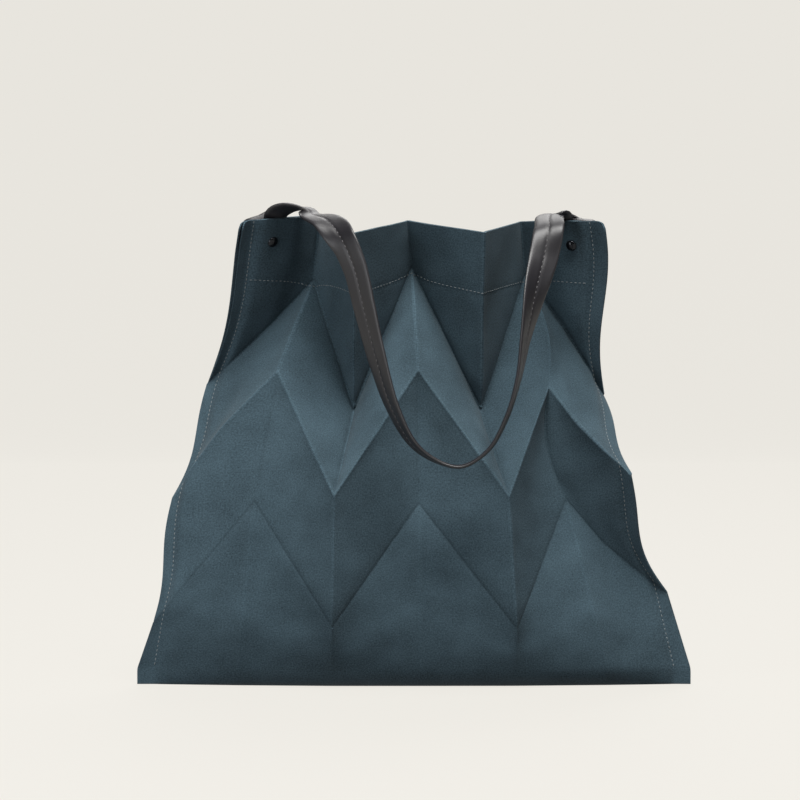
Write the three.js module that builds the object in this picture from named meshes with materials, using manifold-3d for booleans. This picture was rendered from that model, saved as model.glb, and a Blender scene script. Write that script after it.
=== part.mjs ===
// A pleated canvas tote bag that stands on its base, with two leather handles and four rivets.
// Millimetres, +Z up. X runs along the bag, -Y is its front, and the origin is the middle of the base.
import * as THREE from 'three';
import { mergeVertices } from 'three/addons/utils/BufferGeometryUtils.js';
import Module from 'manifold-3d';

const wasm = await Module();
wasm.setup();

// Cloth body
const baseWidth = 460;      // along the floor, from edge to edge
const bagHeight = 385;      // floor to rim
const foldDepth = 80;       // unit of the pleats' swing, forward and back
const baseDepth = 76;       // front to back where the bag stands
const baseRound = 13;       // radius where a panel turns under into the base
const clothWall = 1.3;      // one layer of canvas
const hemWall = 2.2;        // the rim's turned-in double layer
const hemDepth = 49;        // how far the double layer reaches below the rim
const sideFlange = 14;      // doubled edge outside each side seam

// Handles
const strapWidth = 25;
const strapThick = 3.2;
const tabWidth = 16;        // the narrower end that is riveted inside the hem
const tabReach = 24;        // length that keeps the tab's width
const tabGrow = 16;         // length over which the tab widens into the strap
const strapBevel = 0.8;

// Rivets
const rivetDrop = 21;       // from the rim down to the rivet
const rivetInset = 12;      // from the start of the flat pad beside the seam to the rivet
const rivetHead = 4.5;      // head radius
const rivetDome = 2.4;      // how far the dome stands out
const rivetPost = 1.7;      // post radius
const rivetFoot = 1.2;      // thickness of the inner disc

const clearance = 0.35;     // air between pieces that touch

// Five crease rows cross the front panel, and each is a zigzag over seven places, from the left edge to the
// right one. across is a share of half the base width, up a share of the bag height, and out a share of the
// fold depth, where minus is forward. open, pad and swell are shares of half the base depth: half the hollow
// between the panels in the middle, 30 mm from the seam and beside the seam.
const creaseRows = [
  { // the rim
    across: [-0.610, -0.350, -0.220, -0.025, 0.250, 0.385, 0.690],
    up: [0.995, 1.010, 0.970, 0.995, 0.970, 0.995, 0.995],
    out: [-0.35, 0.25, -0.61, 0.14, -0.39, 0.50, 0.10],
    open: 0.30, pad: 0.30, swell: 0.17,
  },
  { // upper zigzag, a valley
    across: [-0.745, -0.350, -0.220, -0.010, 0.240, 0.410, 0.685],
    up: [0.645, 0.880, 0.590, 0.893, 0.588, 0.880, 0.615],
    out: [0.54, 0.43, 0.08, 0.31, 0.15, 0.61, 0.52],
    open: 0.32, pad: 0.22, swell: 0.11,
  },
  { // middle zigzag, a ridge
    across: [-0.870, -0.490, -0.290, 0.015, 0.345, 0.490, 0.785],
    up: [0.395, 0.668, 0.400, 0.670, 0.395, 0.640, 0.445],
    out: [0.05, -0.15, -0.80, -0.46, -0.75, -0.11, -0.38],
    open: 0.42, pad: 0.26, swell: 0.11,
  },
  { // lower zigzag, a valley
    across: [-0.945, -0.580, -0.300, 0.015, 0.375, 0.550, 0.915],
    up: [0.127, 0.390, 0.115, 0.385, 0.108, 0.392, 0.190],
    out: [-0.06, -0.24, -0.45, -0.30, -0.43, 0.02, 0.00],
    open: 0.62, pad: 0.32, swell: 0.11,
  },
];
const footRow = { // where the panels turn under
  across: [-1.000, -0.640, -0.295, 0.020, 0.365, 0.700, 1.000],
  out: [0.00, -0.38, -0.48, -0.48, -0.47, -0.36, 0.00],
  open: 0.94, pad: 0.46, swell: 0.10,
};
const outerColumnOpen = 0.85;         // the hollow at the two outer creases, as a share of the middle's
const padAt = 0.50;                   // the pad's far end, as a share of the way from the seam to the crease
const swellAt = 0.07;                 // the swell beside the seam, on the same scale
const edgeBows = [                    // how far the side edges bow inwards between rows, in shares of foldDepth
  { left: -0.02, right: 0.05 },
  { left: 0.02, right: -0.02 },
  { left: 0.04, right: 0.12 },
  { left: 0.00, right: 0.00 },
];
const bowShares = [1, 1, 0.92, 0.45];  // how much of the bow reaches the edge, seam, swell and pad
const rowSteps = 5;
const footSteps = 3;
const columnSteps = [1, 1, 2, 2, 4, 4, 4, 4, 2, 2, 1, 1];

// The free part of each handle, from the left crest down to the bottom of the loop and up to the right.
// across, up and out are shares as above. swing and tip give the way from the strap's middle to one edge, as
// degrees round Z and degrees up. The front loop hangs before the ridges, the back one round their outside.
const handleRows = {
  front: [
    { across: -0.318, up: 1.005, out: -0.46, swing: 14, tip: 22 },
    { across: -0.262, up: 0.962, out: -0.72, swing: 0, tip: 24 },
    { across: -0.220, up: 0.900, out: -0.78, swing: -10, tip: 18 },
    { across: -0.175, up: 0.800, out: -0.80, swing: -30, tip: 14 },
    { across: -0.128, up: 0.690, out: -0.82, swing: -50, tip: 12 },
    { across: -0.085, up: 0.595, out: -0.84, swing: -60, tip: 12 },
    { across: -0.020, up: 0.515, out: -0.86, swing: -70, tip: 12 },
    { across: 0.060, up: 0.474, out: -0.88, swing: -80, tip: 10 },
    { across: 0.145, up: 0.465, out: -0.90, swing: -90, tip: 8 },
    { across: 0.235, up: 0.487, out: -0.89, swing: -98, tip: 6 },
    { across: 0.310, up: 0.535, out: -0.85, swing: -104, tip: 5 },
    { across: 0.358, up: 0.605, out: -0.76, swing: -108, tip: 4 },
    { across: 0.388, up: 0.700, out: -0.62, swing: -118, tip: 4 },
    { across: 0.415, up: 0.790, out: -0.46, swing: -138, tip: 4 },
    { across: 0.450, up: 0.880, out: -0.27, swing: -168, tip: 3 },
    { across: 0.490, up: 0.960, out: -0.06, swing: -192, tip: 2 },
  ],
  back: [
    { across: -0.560, up: 0.970, out: 0.42, swing: 46, tip: 0 },
    { across: -0.545, up: 0.910, out: 0.64, swing: 56, tip: 0 },
    { across: -0.495, up: 0.840, out: 0.86, swing: 66, tip: 0 },
    { across: -0.425, up: 0.770, out: 0.96, swing: 74, tip: 0 },
    { across: -0.350, up: 0.700, out: 0.95, swing: 80, tip: 0 },
    { across: -0.250, up: 0.620, out: 0.98, swing: 84, tip: 0 },
    { across: -0.130, up: 0.540, out: 0.99, swing: 88, tip: 0 },
    { across: 0.000, up: 0.495, out: 0.99, swing: 90, tip: 0 },
    { across: 0.140, up: 0.490, out: 1.00, swing: 92, tip: 0 },
    { across: 0.270, up: 0.530, out: 1.01, swing: 96, tip: 0 },
    { across: 0.365, up: 0.600, out: 1.03, swing: 102, tip: 0 },
    { across: 0.445, up: 0.680, out: 1.07, swing: 108, tip: 0 },
    { across: 0.525, up: 0.765, out: 1.09, swing: 116, tip: 0 },
    { across: 0.590, up: 0.845, out: 1.05, swing: 124, tip: 0 },
    { across: 0.632, up: 0.915, out: 0.92, swing: 133, tip: 0 },
    { across: 0.642, up: 0.970, out: 0.72, swing: 142, tip: 0 },
  ],
};
// The fixed part of each handle, from its tab's end over the rim: along the rim and up from the rivet, and out
// from the strap's place inside the hem, in millimetres
const crestRows = [
  { along: -1, up: -11, out: -0.6 },
  { along: 0, up: 0, out: 0 },
  { along: 2, up: 11, out: -0.4 },
  { along: 6, up: 20, out: -0.8 },
  { along: 10, up: 27, out: 0.8 },
  { along: 15, up: 28.5, out: 6 },
];
const crestDrift = { front: 1, back: 0.4 };  // how far each handle slants along the rim
const handleSteps = 84;

const halfWidth = baseWidth / 2;
const halfDepth = baseDepth / 2;
const lerp = THREE.MathUtils.lerp;

// The thirteen stations of a row: edge, seam, swell, pad, five creases, pad, swell, seam and edge.
// run holds the way that each side edge takes past this row, so that the layers part square to both.
function rowStations(row, heights, run) {
  const crease = (i) => new THREE.Vector3(row.across[i] * halfWidth, row.out[i] * foldDepth, heights[i]);
  const front = [];
  const back = [];
  const sides = { left: [], right: [] };
  const openAt = (i) => 2 * (hemWall + row.open * halfDepth * (i === 1 || i === 5 ? outerColumnOpen : 1));
  const behind = (p, depth) => p.clone().setY(p.y + depth);
  for (const [side, edgePlace, creasePlace] of [['left', 0, 1], ['right', 6, 5]]) {
    const edge = crease(edgePlace);
    const inner = behind(crease(creasePlace), openAt(creasePlace) / 2);
    const way = inner.clone().sub(edge);
    const length = way.length();
    way.normalize();
    const facing = way.clone().cross(run[side]).normalize();
    if (facing.y > 0) facing.negate();
    const spots = [
      { along: 0, half: clothWall },
      { along: sideFlange, half: clothWall },
      { along: lerp(sideFlange, length, swellAt), half: hemWall + row.swell * halfDepth },
      { along: lerp(sideFlange, length, padAt), half: hemWall + row.pad * halfDepth },
    ];
    for (const { along, half } of spots) {
      const middle = edge.clone().addScaledVector(way, along);
      sides[side].push({
        front: middle.clone().addScaledVector(facing, half),
        back: middle.clone().addScaledVector(facing, -half),
      });
    }
  }
  sides.right.reverse();
  for (const s of sides.left) { front.push(s.front); back.push(s.back); }
  for (let i = 1; i <= 5; i++) { front.push(crease(i)); back.push(behind(crease(i), openAt(i))); }
  for (const s of sides.right) { front.push(s.front); back.push(s.back); }
  return { front, back };
}

// One line of the cloth's grid: the stations with straight steps between them
function gridLine(stations) {
  const line = [];
  stations.forEach((p, k) => {
    const steps = columnSteps[k] ?? 1;
    for (let s = 0; s < steps; s++) {
      line.push(k + 1 < stations.length ? p.clone().lerp(stations[k + 1], s / steps) : p.clone());
    }
  });
  return line;
}

// The way a side edge takes past each row, straight down at the rim and at the foot
function edgeRuns(place) {
  const points = creaseRows.map((row) => new THREE.Vector3(row.across[place] * halfWidth,
    row.out[place] * foldDepth, row.up[place] * bagHeight));
  points.push(new THREE.Vector3(footRow.across[place] * halfWidth, footRow.out[place] * foldDepth, baseRound));
  return creaseRows.map((_, r) => {
    if (r === 0) return new THREE.Vector3(0, 0, -1);
    const above = points[r].clone().sub(points[r - 1]).normalize();
    return points[r + 1].clone().sub(points[r]).normalize().add(above).normalize();
  });
}

// The outer skin of one panel, from the rim down to the base, as an array of grid lines
function panelGrid(side) {
  const runs = { left: edgeRuns(0), right: edgeRuns(6) };
  const keyRows = creaseRows.map((row, r) => {
    const heights = row.up.map((share) => share * bagHeight);
    return rowStations(row, heights, { left: runs.left[r], right: runs.right[r] })[side];
  });
  const down = new THREE.Vector3(0, 0, -1);
  const foot = rowStations(footRow, footRow.across.map(() => baseRound), { left: down, right: down });
  keyRows.push(foot[side]);
  const grid = [];
  for (let r = 0; r + 1 < keyRows.length; r++) {
    for (let s = 0; s < rowSteps; s++) {
      const t = s / rowSteps;
      const stations = keyRows[r].map((p, k) => p.clone().lerp(keyRows[r + 1][k], t));
      const bow = Math.sin(Math.PI * t) * foldDepth;
      const last = stations.length - 1;
      bowShares.forEach((share, k) => {
        stations[k].x += bow * share * edgeBows[r].left;
        stations[last - k].x -= bow * share * edgeBows[r].right;
      });
      grid.push(gridLine(stations));
    }
  }
  const footMiddle = foot.front.map((p, k) => p.clone().lerp(foot.back[k], 0.5));
  const mostOpen = Math.max(...foot.front.map((p, k) => p.distanceTo(foot.back[k]) / 2));
  for (let s = 0; s <= footSteps; s++) {
    const angle = (s / footSteps) * Math.PI / 2;
    const inset = (baseRound / mostOpen) * (1 - Math.cos(angle));
    const stations = foot[side].map((p, k) => {
      const onFlange = k < 2 || k > foot[side].length - 3;
      const q = p.clone().lerp(footMiddle[k], onFlange ? 0 : inset);
      return q.setZ(baseRound * (1 - Math.sin(angle)));
    });
    grid.push(gridLine(stations));
  }
  return grid;
}

// Unit normals of a grid, pointing away from the hollow
function gridNormals(grid, sign) {
  const rows = grid.length;
  const cols = grid[0].length;
  const faceNormal = (r, c) => {
    const a = grid[r + 1][c + 1].clone().sub(grid[r][c]);
    const b = grid[r + 1][c].clone().sub(grid[r][c + 1]);
    return a.cross(b).normalize().multiplyScalar(sign);
  };
  return grid.map((line, r) => line.map((_, c) => {
    const sum = new THREE.Vector3();
    for (const i of [r - 1, r]) {
      for (const j of [c - 1, c]) {
        if (i >= 0 && j >= 0 && i < rows - 1 && j < cols - 1) sum.add(faceNormal(i, j));
      }
    }
    return sum.normalize();
  }));
}

// The inner skin: the grid moved in by the wall, which is doubled in the hem
function innerGrid(grid, normals) {
  return grid.map((line, r) => line.map((p, c) => {
    const wall = grid[0][c].distanceTo(p) <= hemDepth ? hemWall : clothWall;
    return p.clone().addScaledVector(normals[r][c], -wall);
  }));
}

// A closed mesh from named points and faces
function solidGeometry(points, triangles) {
  const geometry = new THREE.BufferGeometry();
  geometry.setAttribute('position', new THREE.Float32BufferAttribute(points.flatMap((p) => p.toArray()), 3));
  geometry.setIndex(triangles);
  return geometry;
}

function toManifold(geometry) {
  const bare = geometry.clone();
  bare.deleteAttribute('normal');
  bare.deleteAttribute('uv');
  const merged = mergeVertices(bare, 1e-4);
  return new wasm.Manifold(new wasm.Mesh({
    numProp: 3,
    vertProperties: new Float32Array(merged.attributes.position.array),
    triVerts: new Uint32Array(merged.index.array),
  }));
}

function toGeometry(manifold) {
  const { vertProperties, triVerts } = manifold.getMesh();
  const geometry = new THREE.BufferGeometry();
  geometry.setAttribute('position', new THREE.BufferAttribute(new Float32Array(vertProperties), 3));
  geometry.setIndex(new THREE.BufferAttribute(new Uint32Array(triVerts), 1));
  return geometry;
}

const frontGrid = panelGrid('front');
const backGrid = panelGrid('back');

// The whole cloth body: an outer skin with its flanges, an inner skin from seam to seam, the rim and the base
function bodyGeometry() {
  const rows = frontGrid.length;
  const last = frontGrid[0].length - 1;
  const seams = [1, last - 1];
  const points = [];
  const triangles = [];
  const add = (p) => points.push(p) - 1;
  const quad = (a, b, c, d) => {
    triangles.push(a, b, c, a, c, d);
  };
  const outer = { front: frontGrid.map((l) => l.map(add)), back: backGrid.map((l) => l.map(add)) };
  const skins = {
    front: innerGrid(frontGrid, gridNormals(frontGrid, -1)),
    back: innerGrid(backGrid, gridNormals(backGrid, 1)),
  };
  const inner = { front: [], back: [] };
  for (let r = 0; r < rows; r++) {
    inner.front.push([]);
    inner.back.push([]);
    for (let c = seams[0]; c <= seams[1]; c++) {
      if (seams.includes(c)) {
        const middle = frontGrid[r][c].clone().lerp(backGrid[r][c], 0.5);
        const next = c === seams[0] ? c + 1 : c - 1;
        const towards = frontGrid[r][next].clone().lerp(backGrid[r][next], 0.5);
        const shared = middle.lerp(towards, clothWall / middle.distanceTo(towards));
        if (r === rows - 1) shared.setZ(clothWall);
        inner.front[r][c] = inner.back[r][c] = add(shared);
      } else {
        inner.front[r][c] = add(skins.front[r][c]);
        inner.back[r][c] = add(skins.back[r][c]);
      }
    }
  }
  for (let r = 0; r + 1 < rows; r++) {
    for (let c = 0; c < last; c++) {
      quad(outer.front[r][c], outer.front[r + 1][c], outer.front[r + 1][c + 1], outer.front[r][c + 1]);
      quad(outer.back[r][c], outer.back[r][c + 1], outer.back[r + 1][c + 1], outer.back[r + 1][c]);
    }
    quad(outer.front[r][0], outer.back[r][0], outer.back[r + 1][0], outer.front[r + 1][0]);
    quad(outer.front[r][last], outer.front[r + 1][last], outer.back[r + 1][last], outer.back[r][last]);
    for (let c = seams[0]; c < seams[1]; c++) {
      quad(inner.front[r][c], inner.front[r][c + 1], inner.front[r + 1][c + 1], inner.front[r + 1][c]);
      quad(inner.back[r][c], inner.back[r + 1][c], inner.back[r + 1][c + 1], inner.back[r][c + 1]);
    }
  }
  const foot = rows - 1;
  for (let c = 0; c < last; c++) {
    quad(outer.front[foot][c], outer.back[foot][c], outer.back[foot][c + 1], outer.front[foot][c + 1]);
  }
  for (let c = seams[0]; c < seams[1]; c++) {
    const [a, b] = [inner.front[foot][c], inner.front[foot][c + 1]];
    const [d, e] = [inner.back[foot][c], inner.back[foot][c + 1]];
    if (c === seams[0]) triangles.push(a, b, e);
    else if (c === seams[1] - 1) triangles.push(a, b, d);
    else quad(a, b, e, d);
    quad(outer.front[0][c], outer.front[0][c + 1], inner.front[0][c + 1], inner.front[0][c]);
    quad(outer.back[0][c + 1], outer.back[0][c], inner.back[0][c], inner.back[0][c + 1]);
  }
  const fan = (hub, ...ring) => {
    for (let i = 0; i + 1 < ring.length; i++) triangles.push(hub, ring[i], ring[i + 1]);
  };
  fan(inner.front[0][1], outer.back[0][1], outer.back[0][0], outer.front[0][0], outer.front[0][1]);
  fan(inner.front[0][last - 1], outer.front[0][last - 1], outer.front[0][last], outer.back[0][last],
    outer.back[0][last - 1]);
  return solidGeometry(points, triangles);
}

// Where a rivet goes through a panel: a place on the flat pad below the rim, with the pad's own directions
function rivetPlace(side, grid, end) {
  const stationColumn = (k) => columnSteps.slice(0, k).reduce((sum, n) => sum + n, 0);
  const [nearSeam, farEnd] = end === 'left' ? [2, 3] : [10, 9];
  const at = (r, station) => grid[r][stationColumn(station)];
  const inwards = at(0, farEnd).clone().sub(at(0, nearSeam)).normalize();
  const rimSpot = at(0, nearSeam).clone().addScaledVector(inwards, rivetInset);
  const lowInwards = at(1, farEnd).clone().sub(at(1, nearSeam)).normalize();
  const lowSpot = at(1, nearSeam).clone().addScaledVector(lowInwards, rivetInset);
  const down = lowSpot.clone().sub(rimSpot).normalize();
  const spot = rimSpot.clone().addScaledVector(down, rivetDrop);
  const outwards = inwards.clone().lerp(lowInwards, rivetDrop / rimSpot.distanceTo(lowSpot)).cross(down);
  outwards.normalize();
  if ((side === 'front') !== (outwards.y < 0)) outwards.negate();
  const up = down.clone().negate();
  const along = up.clone().cross(outwards).normalize();
  if (along.dot(inwards) < 0) along.negate();
  return { spot, outwards, up, along };
}

function placedOnAxis(geometry, place, depth) {
  const turn = new THREE.Quaternion().setFromUnitVectors(new THREE.Vector3(0, 1, 0), place.outwards);
  geometry.applyQuaternion(turn);
  geometry.translate(...place.spot.clone().addScaledVector(place.outwards, depth).toArray());
  return geometry;
}

// A drilled hole round a rivet's axis, long enough to pass through the hem or the strap
function drill(place) {
  const reach = 4 * (hemWall + strapThick);
  return toManifold(placedOnAxis(new THREE.CylinderGeometry(rivetPost + clearance, rivetPost + clearance, reach, 20),
    place, 0));
}

// A domed head outside the hem, a post through hem and tab, and a disc behind the tab
function rivetGeometry(place) {
  const domeSteps = 4;
  const stack = hemWall + 3 * clearance + strapThick;
  const profile = [new THREE.Vector2(0, -stack - rivetFoot), new THREE.Vector2(rivetHead, -stack - rivetFoot),
    new THREE.Vector2(rivetHead, -stack), new THREE.Vector2(rivetPost, -stack), new THREE.Vector2(rivetPost, 0),
    new THREE.Vector2(rivetHead, 0)];
  for (let i = 1; i <= domeSteps; i++) {
    const angle = (i / domeSteps) * Math.PI / 2;
    profile.push(new THREE.Vector2(i < domeSteps ? rivetHead * Math.cos(angle) : 0, rivetDome * Math.sin(angle)));
  }
  return placedOnAxis(new THREE.LatheGeometry(profile, 20), place, clearance);
}

// The strap's middle line and its edge line: up inside the hem, over the rim, and down outside
function handleCurves(side, leftPlace, rightPlace) {
  const middles = [];
  const edges = [];
  const push = (middle, direction) => {
    middles.push(middle);
    edges.push(middle.clone().addScaledVector(direction, strapWidth / 2));
  };
  const inside = -(hemWall + clearance + strapThick / 2);
  const crest = (place) => crestRows.map((row) => [
    place.spot.clone().addScaledVector(place.along, row.along * crestDrift[side])
      .addScaledVector(place.up, row.up).addScaledVector(place.outwards, inside + row.out),
    place.along]);
  for (const [middle, direction] of crest(leftPlace)) push(middle, direction);
  for (const row of handleRows[side]) {
    const swing = THREE.MathUtils.degToRad(row.swing);
    const tip = THREE.MathUtils.degToRad(row.tip);
    push(new THREE.Vector3(row.across * halfWidth, row.out * foldDepth, row.up * bagHeight),
      new THREE.Vector3(Math.cos(tip) * Math.cos(swing), Math.cos(tip) * Math.sin(swing), Math.sin(tip)));
  }
  for (const [middle, direction] of crest(rightPlace).reverse()) push(middle, direction);
  return {
    middle: new THREE.CatmullRomCurve3(middles, false, 'centripetal'),
    edge: new THREE.CatmullRomCurve3(edges, false, 'centripetal'),
  };
}


// A strap of constant thickness swept along its middle line, narrowed at both riveted ends
function strapGeometry(curves) {
  const total = curves.middle.getLength();
  const rings = [];
  for (let i = 0; i <= handleSteps; i++) {
    const t = curves.middle.getUtoTmapping(i / handleSteps);
    const middle = curves.middle.getPoint(t);
    const tangent = curves.middle.getTangent(t);
    const side = sideAt(curves, t, middle, tangent);
    const normal = tangent.clone().cross(side);
    const fromEnd = Math.min(i, handleSteps - i) / handleSteps * total;
    const share = THREE.MathUtils.smoothstep(fromEnd, tabReach, tabReach + tabGrow);
    const half = lerp(tabWidth, strapWidth, share) / 2;
    rings.push(strapSection(half).map(([w, h]) => middle.clone().addScaledVector(side, w).addScaledVector(normal, h)));
  }
  return ringSolid(rings);
}

function sideAt(curves, t, middle, tangent) {
  const side = curves.edge.getPoint(t).sub(middle);
  return side.addScaledVector(tangent, -side.dot(tangent)).normalize();
}

function strapSection(half) {
  const h = strapThick / 2;
  return [[-half, -h + strapBevel], [-half + strapBevel, -h], [half - strapBevel, -h], [half, -h + strapBevel],
    [half, h - strapBevel], [half - strapBevel, h], [-half + strapBevel, h], [-half, h - strapBevel]];
}

// A closed solid through rings of equal count, capped flat at both ends
function ringSolid(rings) {
  const count = rings[0].length;
  const triangles = [];
  for (let r = 0; r + 1 < rings.length; r++) {
    for (let k = 0; k < count; k++) {
      const [a, b] = [r * count + k, r * count + (k + 1) % count];
      triangles.push(a, b, b + count, a, b + count, a + count);
    }
  }
  const end = (rings.length - 1) * count;
  for (let k = 1; k + 1 < count; k++) {
    triangles.push(0, k + 1, k);
    triangles.push(end, end + k, end + k + 1);
  }
  return solidGeometry(rings.flat(), triangles);
}

const canvas = new THREE.MeshStandardMaterial({ color: 0x2f4650, roughness: 0.92, metalness: 0 });
const leather = new THREE.MeshStandardMaterial({ color: 0x17151a, roughness: 0.42, metalness: 0 });
const darkMetal = new THREE.MeshStandardMaterial({ color: 0x0c0d10, roughness: 0.28, metalness: 0.8 });

const bag = new THREE.Group();
function addPiece(name, geometry, material) {
  const mesh = new THREE.Mesh(geometry, material);
  mesh.name = name;
  bag.add(mesh);
}

let body = toManifold(bodyGeometry());
for (const [side, grid] of [['front', frontGrid], ['back', backGrid]]) {
  const places = { left: rivetPlace(side, grid, 'left'), right: rivetPlace(side, grid, 'right') };
  let strap = toManifold(strapGeometry(handleCurves(side, places.left, places.right)));
  for (const end of ['left', 'right']) {
    const hole = drill(places[end]);
    body = body.subtract(hole);
    strap = strap.subtract(hole);
    addPiece(`rivet_${side}_${end}`, rivetGeometry(places[end]), darkMetal);
  }
  addPiece(`handle_${side}`, toGeometry(strap), leather);
}
addPiece('canvas_body', toGeometry(body), canvas);

// The handles hang out unevenly, so the whole is moved to stand in the middle of its own outline
const middle = new THREE.Box3().setFromObject(bag).getCenter(new THREE.Vector3());
for (const mesh of bag.children) mesh.geometry.translate(-middle.x, -middle.y, 0);

export default bag;
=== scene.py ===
import math

import bpy
import numpy as np
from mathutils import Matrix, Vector


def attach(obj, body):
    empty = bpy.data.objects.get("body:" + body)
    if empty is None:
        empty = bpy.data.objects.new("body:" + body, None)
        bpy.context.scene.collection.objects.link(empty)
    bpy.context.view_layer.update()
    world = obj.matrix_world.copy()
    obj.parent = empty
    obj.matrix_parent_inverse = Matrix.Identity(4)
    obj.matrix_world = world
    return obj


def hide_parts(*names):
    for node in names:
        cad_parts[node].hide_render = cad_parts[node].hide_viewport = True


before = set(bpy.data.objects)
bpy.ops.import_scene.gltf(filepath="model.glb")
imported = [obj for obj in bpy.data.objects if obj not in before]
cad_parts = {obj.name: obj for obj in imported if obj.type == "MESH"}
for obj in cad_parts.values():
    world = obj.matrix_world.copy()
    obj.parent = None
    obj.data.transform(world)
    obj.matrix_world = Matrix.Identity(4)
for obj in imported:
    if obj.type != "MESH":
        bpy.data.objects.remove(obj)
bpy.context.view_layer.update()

yAxis, zAxis = np.eye(3)[1:]

bag = {
    "halfWidth": 0.230,      # half the length along the floor
    "height": 0.385,         # floor to rim
    "foldDepth": 0.080,      # unit of the pleats' swing
    "halfDepth": 0.038,      # half the base from front to back
    "baseRound": 0.013,      # radius of the turn under the base
    "baseClose": 0.994,      # how near each layer comes to the middle line of the base, as a share
    "wall": 0.0013,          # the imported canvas, which sets the layers' places
    "hemWall": 0.0022,
    "hemDepth": 0.053,       # stitch line of the hem, below the rim
    "flange": 0.014,         # doubled edge outside each side seam
    "canvasThick": 0.0011,   # the dressed canvas
    "hemThick": 0.0020,
    "outerOpen": 0.85,       # hollow at the two outer creases, as a share of the middle's
    "swellAt": 0.07,         # place of the swell beside the seam, on the way to the outer crease
    "padAt": 0.50,           # place of the flat pad's far end
    "standShift": -0.00733,  # the part is centred on its own outline
    "tuckHeight": 0.066,     # the panels curve in towards the base below this height
    "tuckShare": 0.46,       # by this share of the hollow
    "tuckPower": 1.6,        # and this power of the way down
    "cornerRound": 0.008,    # the rim's outer corners
    "cornerDrop": 0.8,       # the share of that round that is taken off
    "cornerFade": 0.030,     # and how far below the rim it ends
    "edgeStep": 0.22,        # the front flange's edge lies this share of the flange inside the back one's,
    "edgeStepFrom": 0.22,    # from this height up
    "edgeStepOver": 0.08,    # growing over this much more
    "hemSoft": 0.0012,       # how softly the hem's thickness ends
    "seamSoft": 0.004,       # how far inside the side seam the cloth stays thin
}

# Seven places of each zigzag crease, from the left edge to the right one, as shares of half the width, of the
# height and of the fold depth; then half the hollow in the middle, on the pad and at the swell, as shares
# of half the base depth
pleatRows = [
    {"name": "rim", "across": [-0.622, -0.340, -0.215, -0.022, 0.248, 0.392, 0.686],
     "up": [0.998, 1.012, 0.973, 0.998, 0.975, 0.996, 0.998],
     "out": [-0.35, 0.25, -0.61, 0.14, -0.39, 0.50, 0.03], "open": 0.30, "pad": 0.30, "swell": 0.17},
    {"name": "upper valley", "across": [-0.752, -0.365, -0.217, -0.008, 0.242, 0.408, 0.693],
     "up": [0.645, 0.870, 0.593, 0.897, 0.591, 0.880, 0.617],
     "out": [0.54, 0.43, 0.08, 0.31, 0.15, 0.61, 0.58], "open": 0.32, "pad": 0.22, "swell": 0.11},
    {"name": "middle ridge", "across": [-0.872, -0.489, -0.284, 0.014, 0.338, 0.485, 0.776],
     "up": [0.400, 0.675, 0.418, 0.680, 0.413, 0.641, 0.456],
     "out": [0.10, -0.12, -0.64, -0.25, -0.44, 0.06, -0.30], "open": 0.42, "pad": 0.26, "swell": 0.11},
    {"name": "lower valley", "across": [-0.939, -0.573, -0.293, 0.017, 0.369, 0.551, 0.915],
     "up": [0.136, 0.401, 0.132, 0.395, 0.126, 0.399, 0.197],
     "out": [-0.06, -0.32, -0.58, -0.30, -0.49, 0.04, 0.09], "open": 0.62, "pad": 0.32, "swell": 0.11},
    {"name": "foot", "across": [-1.000, -0.632, -0.294, 0.024, 0.364, 0.697, 1.000],
     "up": None,
     "out": [0.00, -0.38, -0.48, -0.48, -0.47, -0.36, 0.00], "open": 0.94, "pad": 0.46, "swell": 0.10},
]
# Between one row and the next, in shares of the fold depth: how far the side edges bow inwards, how far they
# sway, which is inwards above and outwards below, and how far the fifth crease bows to the right
bows = {
    "left": [0.070, 0.050, 0.006, 0.00], "leftSway": [-0.014, -0.024, -0.024, 0.00],
    "right": [0.010, 0.022, 0.104, 0.00], "rightSway": [-0.040, -0.024, -0.030, 0.00],
    "fifth": [0.00, 0.11, -0.11, 0.00], "fifthStation": 8,
}
bowShares = np.array([1.0, 1.0, 0.92, 0.45])     # of the bow and sway: at the edge, seam, swell and pad

# The unfolded cloth, for the grain: how far each crease row lies below the rim at the even and the odd
# creases, and how far each station lies from the left edge
flatCloth = {
    "columnWidth": 0.078,
    "stations": [0, bag["flange"], 0.0185, 0.046, 0.078, 0.156, 0.234, 0.312, 0.390, 0.422, 0.4495,
                 0.468 - bag["flange"], 0.468],
    "evenDown": [0.0, 0.153, 0.262, 0.371, 0.420],
    "oddDown": [0.0, 0.047, 0.156, 0.265, 0.420],
    "turnLength": 0.020,
    "baseLength": 0.036,
}

# How finely the canvas is worked: steps between stations along a row, and between rows, with the slope of the
# spacing at each of them, which is low where the steps crowd
weaveGrid = {
    "stationSteps": [7, 3, 13, 15, 38, 38, 38, 38, 15, 13, 3, 7],
    "stationSlopes": [1, 1, 1, 1.3, 0.2, 0.2, 0.2, 0.2, 0.2, 1.3, 1, 1, 1],
    "rowSteps": [46, 46, 46, 40],
    "rowSlopes": [1, 0.2, 0.2, 0.2, 0.8],
    "turnSteps": 8,
    "baseSteps": 8,
    "softenTimes": 2,
}

# the last reach in press is how wide the highlight painted along each ridge and the shade painted along each
# valley run
press = {  # the pressed creases: a fine raised or sunken line, and the pinch of the cloth beside it
    "line": 0.00030, "lineReach": 0.0012, "pinch": 0.0011, "pinchReach": 0.009, "paintedLightShadeReach": 0.0016,
    "rowSigns": [-1, 1, -1], "rowWeights": [0.9, 1.0, 0.8],
    "columnWeights": [0.7, 0.9, 0.7, 0.7], "footFade": 0.7, "zigzagCos": 0.593, "rowClear": 0.012,
}

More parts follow.
